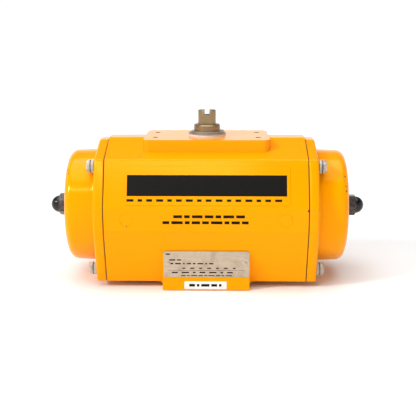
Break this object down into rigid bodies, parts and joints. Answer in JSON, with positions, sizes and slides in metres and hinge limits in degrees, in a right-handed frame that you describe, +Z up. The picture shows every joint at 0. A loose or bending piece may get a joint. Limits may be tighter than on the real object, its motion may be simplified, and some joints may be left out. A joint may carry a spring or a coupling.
{
  "type": "rotary pneumatic actuator",
  "caption": "Spring-return rack and pinion rotary actuator: long faceted housing, domed end caps, slotted shaft end on a raised top pad, flanged base for a quarter turn valve.",
  "frame": {"origin": "centre of the lower mounting face on the pinion axis", "axes": "+X along the cylinder, -Y towards the nameplate side, +Z up the pinion axis to the slotted stub"},
  "size_m": [0.2524, 0.111, 0.133],
  "materials": {
    "housing_paint": "gloss",
    "cap_paint": "gloss",
    "shaft_steel": "satin",
    "bright_steel": "satin",
    "spring_steel": "satin",
    "cast_aluminium": "satin",
    "seal_rubber": "matte",
    "white_plastic": "satin",
    "black_plastic": "gloss",
    "nameplate_metal": "brushed",
    "label_film": "gloss",
    "label_paper": "satin"
  },
  "bodies": {
    "actuator_body": {"housing": "housing_paint", "end_cap_left": "cap_paint", "end_cap_right": "cap_paint", "cap_gasket_left": "seal_rubber", "cap_gasket_right": "seal_rubber", "cap_screws_left": "bright_steel", "cap_screws_right": "bright_steel", "stop_screw_left": "bright_steel", "stop_screw_right": "bright_steel", "stop_nut_left": "bright_steel", "stop_nut_right": "bright_steel", "stop_seal_left": "seal_rubber", "stop_seal_right": "seal_rubber", "stop_cover_left": "black_plastic", "stop_cover_right": "black_plastic", "bearing_top": "white_plastic", "bearing_bottom": "white_plastic", "thrust_washer": "white_plastic", "channel_plugs": "housing_paint", "nameplate": "nameplate_metal", "side_label": "label_film", "small_label": "label_paper", "spring_outer_left": "spring_steel", "spring_outer_right": "spring_steel", "spring_inner_left": "spring_steel", "spring_inner_right": "spring_steel"},
    "pinion_shaft": {"pinion": "shaft_steel", "drive_insert": "bright_steel", "pinion_seal_top": "seal_rubber", "pinion_seal_bottom": "seal_rubber", "support_washer": "bright_steel", "circlip": "bright_steel"},
    "left_piston": {"piston_left": "cast_aluminium", "piston_seal_left": "seal_rubber", "guide_band_left": "white_plastic", "rack_guide_left": "white_plastic"},
    "right_piston": {"piston_right": "cast_aluminium", "piston_seal_right": "seal_rubber", "guide_band_right": "white_plastic", "rack_guide_right": "white_plastic"}
  },
  "joints": [
    {"name": "pinion_turn", "type": "hinge", "parent": "actuator_body", "child": "pinion_shaft", "pos_m": [0, 0, 0.0565], "axis": [0, 0, 1], "range_deg": [0, 90], "stiffness_Nm_per_rad": 8, "springref_deg": -68.75},
    {"name": "left_piston_slide", "type": "slide", "parent": "actuator_body", "child": "left_piston", "axis": [-1, 0, 0], "range_m": [0, 0.0254], "deforming": ["spring_outer_left", "spring_inner_left"]},
    {"name": "right_piston_slide", "type": "slide", "parent": "actuator_body", "child": "right_piston", "axis": [1, 0, 0], "range_m": [0, 0.0254], "deforming": ["spring_outer_right", "spring_inner_right"]}
  ],
  "couplings": [
    {"joint": "left_piston_slide", "follows": "pinion_turn", "m_per_rad": 0.016},
    {"joint": "right_piston_slide", "follows": "pinion_turn", "m_per_rad": 0.016}
  ]
}
